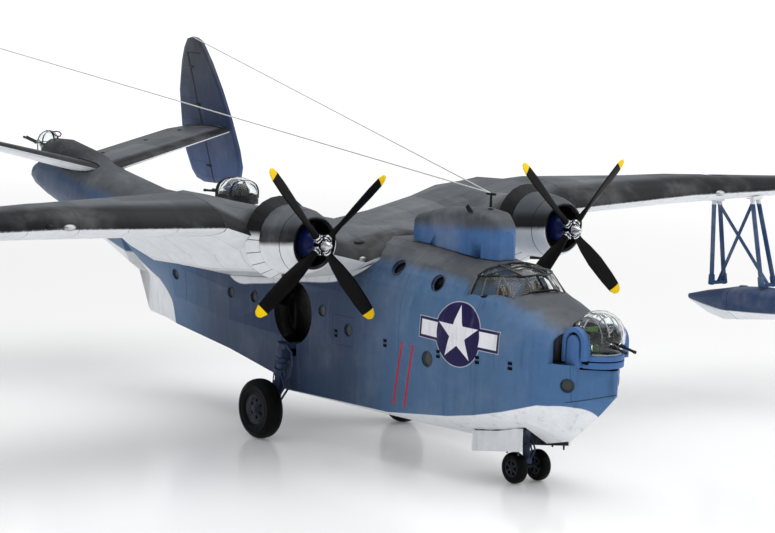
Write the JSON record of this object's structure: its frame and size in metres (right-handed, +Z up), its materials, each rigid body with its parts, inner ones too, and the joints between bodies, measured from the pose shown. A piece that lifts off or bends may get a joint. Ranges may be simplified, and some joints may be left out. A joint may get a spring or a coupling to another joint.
{
  "type": "1:72 scale model of a twin-engined patrol flying boat",
  "caption": "Gull-winged twin-engined flying boat scale model on wheeled beaching gear, with turning propellers, wheels and dorsal turret, twin fins and wing floats.",
  "frame": {"origin": "centre of the bounding box's base, on the surface that the wheels stand on", "axes": "+Z up, -Y towards the nose, +X to port"},
  "size_m": [0.4996, 0.347, 0.124],
  "materials": {
    "side_blue": "matte painted kit plastic",
    "top_grey": "matte painted kit plastic",
    "dark_grey": "matte painted kit plastic",
    "blade_black": "satin painted kit plastic",
    "hub_silver": "silver paint",
    "crankcase_blue": "satin paint",
    "tyre_black": "matte painted kit plastic",
    "wheel_blue": "matte painted kit plastic",
    "gear_blue": "satin painted kit plastic",
    "under_white": "matte painted kit plastic",
    "gun_metal": "metallic paint",
    "inside_green": "matte painted kit plastic",
    "seat_tan": "matte painted kit plastic",
    "clear": "clear kit plastic"
  },
  "bodies": {
    "airframe": {"hull": "side_blue", "wing_centre": "top_grey", "wing_port": "top_grey", "wing_starboard": "top_grey", "cowling_port": "top_grey", "cowling_starboard": "top_grey", "engine_port": "crankcase_blue", "engine_starboard": "crankcase_blue", "cowl_flaps_port": "dark_grey", "cowl_flaps_starboard": "dark_grey", "tailplane": "top_grey", "fin_port": "side_blue", "fin_starboard": "side_blue", "float_port": "side_blue", "float_starboard": "side_blue", "float_struts_port": "side_blue", "float_struts_starboard": "side_blue", "canopy": "clear", "seat_port": "seat_tan", "seat_starboard": "seat_tan", "instrument_panel": "dark_grey", "bow_dome": "clear", "bow_turret_ring": "side_blue", "bow_guns": "gun_metal", "bow_seat": "inside_green", "dorsal_ring": "dark_grey", "tail_dome": "clear", "tail_turret_ring": "inside_green", "tail_guns": "gun_metal", "main_leg_port": "gear_blue", "main_leg_starboard": "gear_blue", "nose_leg": "gear_blue", "nose_door_port": "under_white", "nose_door_starboard": "under_white", "radome": "side_blue", "aerial_mast": "dark_grey", "blade_aerial": "dark_grey"},
    "propeller_port_body": {"propeller_port": "blade_black", "propeller_hub_port": "hub_silver"},
    "propeller_starboard_body": {"propeller_starboard": "blade_black", "propeller_hub_starboard": "hub_silver"},
    "main_wheel_port": {"main_tyre_port": "tyre_black", "main_hub_port": "wheel_blue"},
    "main_wheel_starboard": {"main_tyre_starboard": "tyre_black", "main_hub_starboard": "wheel_blue"},
    "nose_wheels": {"nose_tyre_port": "tyre_black", "nose_tyre_starboard": "tyre_black", "nose_wheel_hubs": "wheel_blue"},
    "dorsal_turret": {"dorsal_dome": "clear", "dorsal_guns": "gun_metal"}
  },
  "joints": [
    {"name": "propeller_port_spin", "type": "hinge", "parent": "airframe", "child": "propeller_port_body", "pos_m": [0.05135, -0.08903, 0.07199], "axis": [0, 1, 0], "continuous": true},
    {"name": "propeller_starboard_spin", "type": "hinge", "parent": "airframe", "child": "propeller_starboard_body", "pos_m": [-0.05135, -0.08903, 0.07199], "axis": [0, 1, 0], "continuous": true},
    {"name": "main_wheel_port_roll", "type": "hinge", "parent": "airframe", "child": "main_wheel_port", "pos_m": [0.03014, -0.02965, 0.00993], "axis": [1, 0, 0], "continuous": true},
    {"name": "main_wheel_starboard_roll", "type": "hinge", "parent": "airframe", "child": "main_wheel_starboard", "pos_m": [-0.03014, -0.02965, 0.00993], "axis": [1, 0, 0], "continuous": true},
    {"name": "nose_wheels_roll", "type": "hinge", "parent": "airframe", "child": "nose_wheels", "pos_m": [0, -0.1289, 0.00493], "axis": [1, 0, 0], "continuous": true},
    {"name": "dorsal_turret_traverse", "type": "hinge", "parent": "airframe", "child": "dorsal_turret", "pos_m": [0, 0.02903, 0.0728], "axis": [0, 0, 1], "continuous": true}
  ]
}
